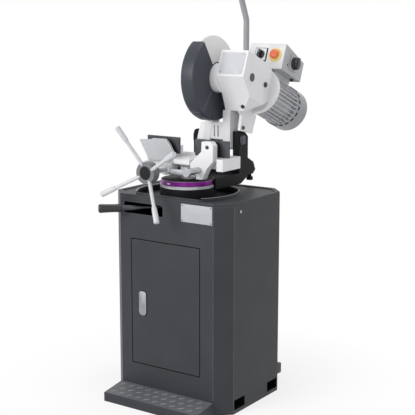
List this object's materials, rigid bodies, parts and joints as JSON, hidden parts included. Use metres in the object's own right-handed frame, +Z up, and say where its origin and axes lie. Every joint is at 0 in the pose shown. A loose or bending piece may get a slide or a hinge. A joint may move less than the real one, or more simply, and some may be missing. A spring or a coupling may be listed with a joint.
{
  "type": "cold saw",
  "caption": "Swivelling cold saw with a hinged head, guarded disc blade, geared motor and screw vise on a sheet-steel cabinet stand.",
  "frame": {"origin": "centre of the cabinet's footprint on the floor", "axes": "+X to the operator's right, +Y from the operator to the back, +Z up"},
  "size_m": [0.58, 0.9069, 1.7754],
  "materials": {
    "anthracite_paint": "satin anthracite powder coat",
    "step_paint": "satin grey paint on tread plate",
    "black_casting": "satin black paint on cast iron",
    "white_paint": "smooth white paint",
    "grey_paint": "smooth light grey paint",
    "dark_guard_paint": "semi-gloss dark grey paint",
    "violet_anodised": "glossy violet anodised",
    "brushed_steel": "bright turned steel",
    "dark_steel": "dark blackened steel",
    "bronze": "cut bronze",
    "copper_winding": "varnished winding and laminations",
    "grey_plastic": "light grey moulded case",
    "plate_metal": "satin aluminium",
    "black_plastic": "black moulded plastic",
    "red_plastic": "orange-red moulded plastic"
  },
  "bodies": {
    "base": {"base_plate": "anthracite_paint", "fork_channels": "anthracite_paint", "corner_posts": "anthracite_paint", "cabinet_front": "anthracite_paint", "side_panels": "anthracite_paint", "cabinet_back": "anthracite_paint", "top_tray": "anthracite_paint", "step_plate": "step_paint", "door_hinges": "dark_steel", "mains_inlet": "black_plastic", "coolant_tank": "grey_paint", "coolant_pump": "black_plastic", "base_casting": "black_casting", "scale_ring": "brushed_steel", "center_post": "brushed_steel", "vise_bed": "white_paint", "fence_plates": "dark_steel"},
    "door": {"door": "anthracite_paint", "door_pull": "plate_metal"},
    "swivel": {"swivel_ring": "violet_anodised", "swivel_arm": "black_casting", "yoke_cheeks": "black_casting", "rear_lug": "dark_steel", "hinge_pin": "brushed_steel", "return_spring": "brushed_steel"},
    "clamp_lever": {"lock_lever": "brushed_steel", "lock_grip": "black_plastic"},
    "head": {"head_arm": "white_paint", "hinge_ear": "white_paint", "gearbox_case": "white_paint", "gearbox_cover": "white_paint", "gearbox_plugs": "dark_steel", "bearings": "brushed_steel", "motor_flange": "white_paint", "motor_body": "grey_paint", "motor_stator": "copper_winding", "fan_cover": "grey_paint", "control_box": "grey_plastic", "switch_plates": "plate_metal", "guard_upper": "white_paint", "guard_rear": "dark_guard_paint", "feed_lever": "brushed_steel", "lever_grip": "black_plastic"},
    "front_guard": {"guard_front": "dark_guard_paint"},
    "cutter": {"saw_blade": "brushed_steel", "blade_clamp": "brushed_steel", "spindle": "brushed_steel", "crown_wheel": "bronze"},
    "rotor": {"motor_shaft": "brushed_steel", "motor_fan": "black_plastic"},
    "jaw": {"jaw_slide": "grey_paint", "left_jaw": "grey_paint", "right_jaw": "white_paint"},
    "wheel": {"vise_screw": "brushed_steel", "star_hub": "grey_paint", "star_spokes": "white_paint"},
    "estop": {"estop_button": "red_plastic"},
    "selector": {"selector_knob": "black_plastic"},
    "switch": {"main_switch": "black_plastic"},
    "button": {"grip_button": "red_plastic"}
  },
  "joints": [
    {"name": "door_hinge", "type": "hinge", "parent": "base", "child": "door", "pos_m": [0.154, -0.224, 0.414], "axis": [0, 0, 1], "range_deg": [0, 110]},
    {"name": "swivel_turn", "type": "hinge", "parent": "base", "child": "swivel", "pos_m": [0, -0.075, 0.91], "axis": [0, 0, 1], "range_deg": [-30, 45]},
    {"name": "clamp_swing", "type": "hinge", "parent": "base", "child": "clamp_lever", "pos_m": [0, -0.075, 0.805], "axis": [0, 0, 1], "range_deg": [0, 32]},
    {"name": "head_tilt", "type": "hinge", "parent": "swivel", "child": "head", "pos_m": [0, 0.152, 1.062], "axis": [1, 0, 0], "range_deg": [0, 53.5], "stiffness_Nm_per_rad": 60, "springref_deg": -17.19},
    {"name": "guard_turn", "type": "hinge", "parent": "head", "child": "front_guard", "pos_m": [0, 0.09459, 1.32032], "axis": [-1, 0, 0], "range_deg": [0, 108]},
    {"name": "blade_spin", "type": "hinge", "parent": "head", "child": "cutter", "pos_m": [0, 0.09459, 1.32032], "axis": [1, 0, 0], "continuous": true},
    {"name": "rotor_spin", "type": "hinge", "parent": "head", "child": "rotor", "pos_m": [0.125, 0.23591, 1.26969], "axis": [0, 0.9272, -0.3746], "continuous": true},
    {"name": "wheel_turn", "type": "hinge", "parent": "base", "child": "wheel", "pos_m": [-0.06, -0.15, 0.962], "axis": [0, 1, 0], "range_deg": [-2880, 450]},
    {"name": "jaw_slide", "type": "slide", "parent": "base", "child": "jaw", "axis": [0, 1, 0], "range_m": [-0.0801, 0.0126]},
    {"name": "estop_press", "type": "slide", "parent": "head", "child": "estop", "axis": [0, 0.9272, -0.3746], "range_m": [0, 0.005]},
    {"name": "selector_turn", "type": "hinge", "parent": "head", "child": "selector", "pos_m": [0.106, 0.31104, 1.40759], "axis": [0, 0.9272, -0.3746], "range_deg": [-45, 45]},
    {"name": "main_switch_turn", "type": "hinge", "parent": "head", "child": "switch", "pos_m": [0.22, 0.38668, 1.37056], "axis": [1, 0, 0], "range_deg": [0, 90]},
    {"name": "button_press", "type": "slide", "parent": "head", "child": "button", "axis": [0, 0.4226, -0.9063], "range_m": [0, 0.005], "stiffness_N_per_m": 600, "springref_m": -0.001}
  ],
  "couplings": [
    {"joint": "guard_turn", "follows": "head_tilt", "ratio": 2},
    {"joint": "blade_spin", "follows": "rotor_spin", "ratio": 0.083333},
    {"joint": "jaw_slide", "follows": "wheel_turn", "m_per_rad": 0.0015915}
  ]
}
